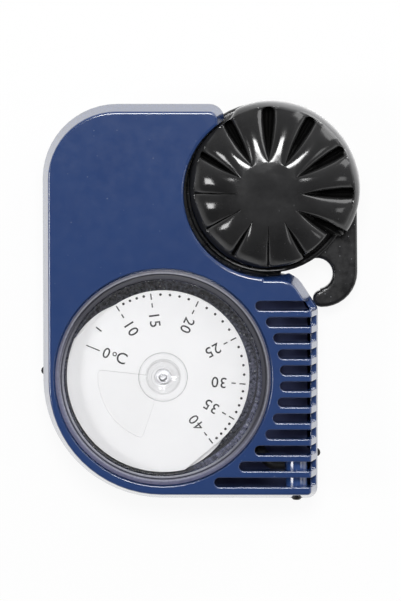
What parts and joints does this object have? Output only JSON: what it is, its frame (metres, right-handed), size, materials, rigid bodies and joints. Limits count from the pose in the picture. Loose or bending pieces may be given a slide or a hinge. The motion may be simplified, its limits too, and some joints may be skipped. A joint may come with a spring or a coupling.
{
  "type": "antifreeze tester",
  "caption": "Hand-held antifreeze tester: flat moulded case with a round dial and swinging float, ribbed grip, squeeze bulb and carrying hook.",
  "frame": {"origin": "centre of the outline on the back plane, on which the tester lies", "axes": "+Z out of the dial's face, +Y along the case toward the bulb, +X across the case toward the grip slots"},
  "size_m": [0.1092, 0.1378, 0.033],
  "materials": {
    "blue_case": "satin to glossy moulded blue",
    "blue_pipe": "glossy blue",
    "clear_plastic": "clear moulded plastic",
    "black_plastic": "fine matte black",
    "chamber_plastic": "dark grey, lightly speckled",
    "scale_white": "white with dark grey print",
    "backing_white": "plain off-white",
    "float_plastic": "pale, slightly translucent",
    "bulb_rubber": "glossy black",
    "seal_rubber": "matte black",
    "hose_rubber": "matte black",
    "steel": "plain steel"
  },
  "bodies": {
    "case": {"front_cover": "blue_case", "rear_cover": "blue_case", "cover_screw_top_left": "steel", "cover_screw_top_right": "steel", "cover_screw_side": "steel", "inner_frame": "black_plastic", "dial_window": "clear_plastic", "window_seal": "seal_rubber", "chamber_cup": "chamber_plastic", "backing_plate": "backing_white", "scale_plate": "scale_white", "pivot_pin": "steel", "pivot_washer": "steel", "inlet_pipe": "blue_pipe", "inlet_nozzle": "black_plastic", "inlet_hose": "hose_rubber", "transfer_tube": "hose_rubber", "bulb_base": "black_plastic", "bulb_clamp_ring": "black_plastic"},
    "float": {"float_vane": "float_plastic", "float_hub": "clear_plastic"},
    "bulb": {"squeeze_bulb": "bulb_rubber"}
  },
  "joints": [
    {"name": "float_swing", "type": "hinge", "parent": "case", "child": "float", "pos_m": [-0.01235, -0.0252, 0.0246], "axis": [0, 0, 1], "continuous": true},
    {"name": "bulb_squeeze", "type": "slide", "parent": "case", "child": "bulb", "axis": [0, 0, -1], "range_m": [0, 0.01], "stiffness_N_per_m": 1500, "deforming": ["squeeze_bulb"]}
  ]
}
